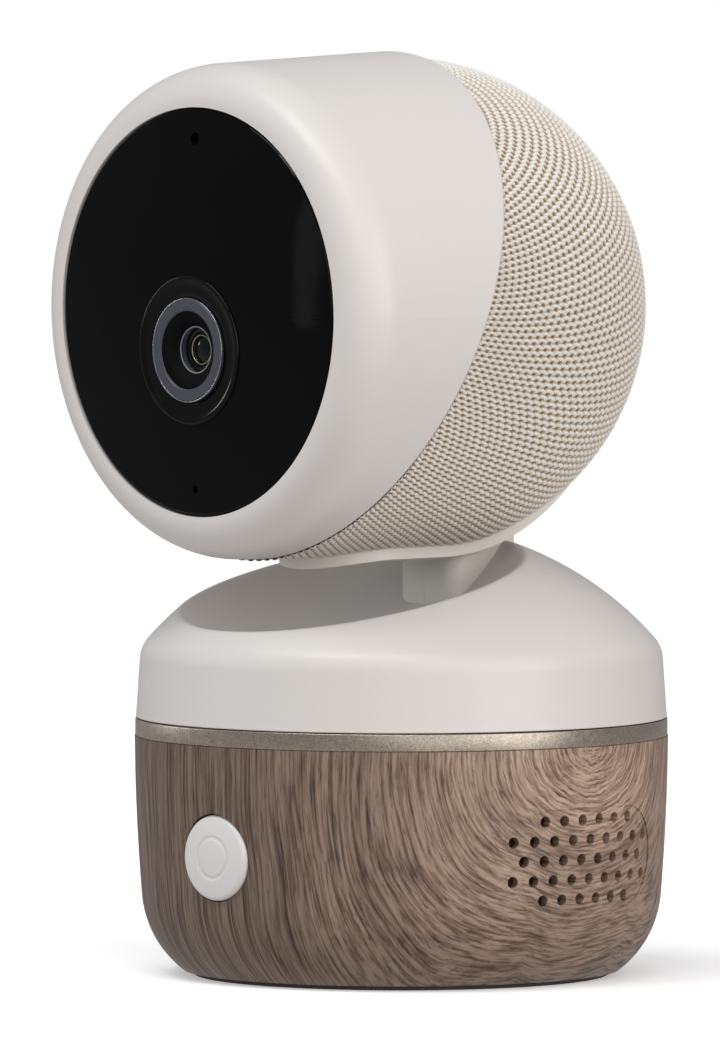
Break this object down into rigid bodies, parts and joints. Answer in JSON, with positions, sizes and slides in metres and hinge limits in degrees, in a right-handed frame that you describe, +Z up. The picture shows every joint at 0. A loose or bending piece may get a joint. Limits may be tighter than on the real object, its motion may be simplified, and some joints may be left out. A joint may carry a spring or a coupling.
{
  "type": "security camera",
  "caption": "Pan and tilt home camera: ball head with lens window and fabric rear on a neck, over a turning cover and a round wood-print base with button and speaker.",
  "frame": {"origin": "centre of the round base, on the surface that it stands on", "axes": "+Z up, the button side of the base faces -Y, the speaker grille faces +X, the power inlet faces +Y"},
  "size_m": [0.09, 0.0936, 0.1557],
  "materials": {
    "acetal": "moulded, for gears and bushes",
    "black_gloss": "high gloss",
    "black_plastic": "moulded",
    "board_green": "solder mask",
    "button_plastic": "satin",
    "cable": "taped bundle",
    "champagne_metal": "satin metallic paint",
    "chip_black": "epoxy",
    "dark_satin": "satin",
    "fabric": "knitted twisted yarn",
    "foam": "foam",
    "greige_plastic": "satin",
    "led_clear": "clear epoxy",
    "lens_glass": "coated",
    "magnet": "plated",
    "pale_plastic": "satin, fine grain",
    "paper_cone": "pressed paper",
    "rubber": "matt",
    "silicon": "coated die",
    "speaker_cloth": "fine open cloth",
    "steel": "plated",
    "white_plastic": "moulded",
    "wood_print": "satin film with a printed wood grain"
  },
  "bodies": {
    "base": {"base_shell": "wood_print", "bottom_plate": "black_plastic", "foot_ring": "rubber", "bottom_screws": "steel", "accent_band": "champagne_metal", "base_deck": "white_plastic", "deck_screws": "steel", "main_board": "board_green", "main_chips": "chip_black", "board_screws": "steel", "usb_c_port": "steel", "inlet_frame": "black_plastic", "button_board": "board_green", "tact_switch": "black_plastic", "button_holder": "white_plastic", "speaker_mesh": "speaker_cloth", "speaker_gasket": "foam", "speaker_frame": "black_plastic", "speaker_cone": "paper_cone", "speaker_magnet": "magnet", "speaker_screws": "steel", "pan_motor": "steel"},
    "button": {"button_cap": "button_plastic", "switch_plunger": "black_plastic"},
    "pan_pinion": {"pan_pinion": "acetal"},
    "turntable": {"top_cover": "pale_plastic", "turntable_plate": "white_plastic", "turntable_screws": "steel", "spindle": "acetal", "retaining_ring": "steel", "pan_gear": "acetal", "neck_left": "greige_plastic", "neck_right": "greige_plastic", "neck_screws": "steel", "tilt_axle": "steel", "harness": "cable", "tilt_gear": "acetal"},
    "head": {"front_housing": "pale_plastic", "window": "black_gloss", "lens_bezel": "dark_satin", "lens_barrel": "black_plastic", "lens_retainer": "dark_satin", "lens_glass": "lens_glass", "lens_holder": "black_plastic", "image_sensor": "silicon", "camera_board": "board_green", "camera_screws": "steel", "infrared_board": "board_green", "infrared_leds": "led_clear", "light_sensor": "led_clear", "microphone": "steel", "head_chassis": "white_plastic", "tilt_bushes": "acetal", "chassis_screws": "steel", "tilt_motor": "steel", "rear_shell": "black_plastic", "fabric_cover": "fabric", "slot_trim": "greige_plastic"},
    "tilt_pinion": {"tilt_pinion": "acetal"}
  },
  "joints": [
    {"name": "head_pan", "type": "hinge", "parent": "base", "child": "turntable", "pos_m": [0, 0, 0.0424], "axis": [0, 0, 1], "range_deg": [-166.75, 173.25]},
    {"name": "pan_pinion_spin", "type": "hinge", "parent": "base", "child": "pan_pinion", "pos_m": [-0.024, 0, 0.0424], "axis": [0, 0, 1], "range_deg": [-540, 540]},
    {"name": "head_tilt", "type": "hinge", "parent": "turntable", "child": "head", "pos_m": [-0.00005, -0.00094, 0.11283], "axis": [-0.9984, 0.0567, 0], "range_deg": [-30, 40]},
    {"name": "tilt_pinion_spin", "type": "hinge", "parent": "head", "child": "tilt_pinion", "pos_m": [0.00029, 0.00505, 0.12503], "axis": [-0.9984, 0.0567, 0], "range_deg": [-90, 110]},
    {"name": "button_press", "type": "slide", "parent": "base", "child": "button", "axis": [0, 1, 0], "range_m": [0, 0.0008], "stiffness_N_per_m": 800, "springref_m": -0.0008}
  ],
  "couplings": [
    {"joint": "pan_pinion_spin", "follows": "head_pan", "ratio": -3},
    {"joint": "tilt_pinion_spin", "follows": "head_tilt", "ratio": 2.4}
  ]
}
